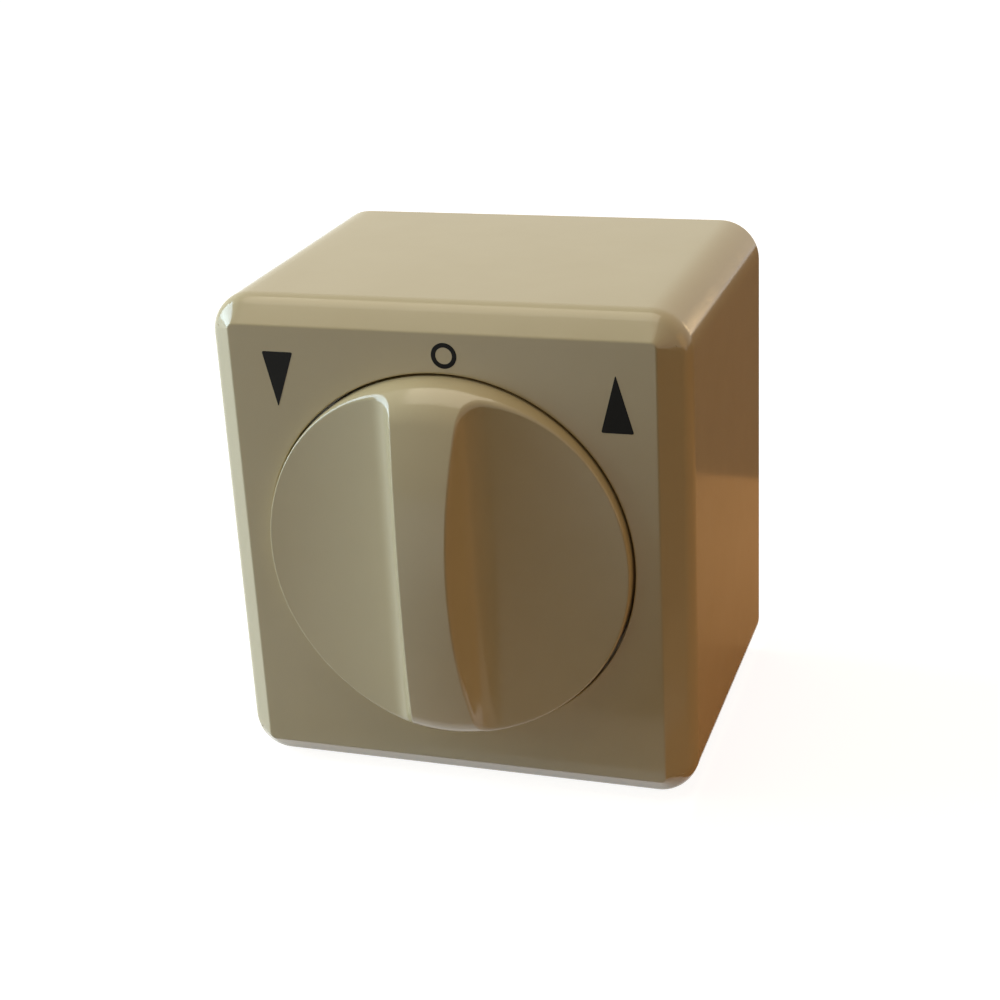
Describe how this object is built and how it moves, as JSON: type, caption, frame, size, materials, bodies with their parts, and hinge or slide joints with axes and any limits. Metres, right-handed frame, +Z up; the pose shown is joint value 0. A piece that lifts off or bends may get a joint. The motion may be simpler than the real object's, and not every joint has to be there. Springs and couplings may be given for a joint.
{
  "type": "rotary switch",
  "caption": "Surface-mounted rotary switch: bevelled moulded cube with a round knob and grip bar that turns from stop to down and up.",
  "frame": {"origin": "middle of the rear face, on the wall", "axes": "+X right and +Z up as seen from the front; +Y into the wall, so the knob faces -Y"},
  "size_m": [0.07, 0.0632, 0.0732],
  "materials": {
    "ivory_moulding": "glossy moulded ivory",
    "base_moulding": "moulded ivory, fine matt",
    "zinc_steel": "zinc-plated sheet",
    "zinc_screws": "zinc-plated",
    "thermoset_block": "moulded dark thermoset",
    "plated_rivets": "plated",
    "turned_steel": "turned",
    "rotor_moulding": "moulded, slightly waxy",
    "spring_steel": "rolled spring strip",
    "brass_strip": "rolled brass",
    "silver_tips": "silver"
  },
  "bodies": {
    "housing": {"hood": "ivory_moulding", "base_plate": "base_moulding", "support_frame": "zinc_steel", "frame_screws": "zinc_screws", "hood_screws": "zinc_screws", "terminal_screws": "zinc_screws", "contact_block": "thermoset_block", "block_cover": "thermoset_block", "block_rivets": "plated_rivets", "index_spring": "spring_steel", "common_strip": "brass_strip", "left_blade": "brass_strip", "right_blade": "brass_strip", "left_contact": "brass_strip", "right_contact": "brass_strip", "left_terminal": "brass_strip", "middle_terminal": "brass_strip", "right_terminal": "brass_strip", "blade_tips": "silver_tips", "contact_tips": "silver_tips"},
    "turning": {"knob": "ivory_moulding", "spindle": "turned_steel", "rotor": "rotor_moulding", "retaining_ring": "spring_steel", "knob_clip": "spring_steel"}
  },
  "joints": [
    {"name": "knob_turn", "type": "hinge", "parent": "housing", "child": "turning", "pos_m": [0, -0.052, 0], "axis": [0, 1, 0], "range_deg": [-45, 45], "deforming": ["index_spring", "left_blade", "right_blade", "blade_tips"]}
  ]
}
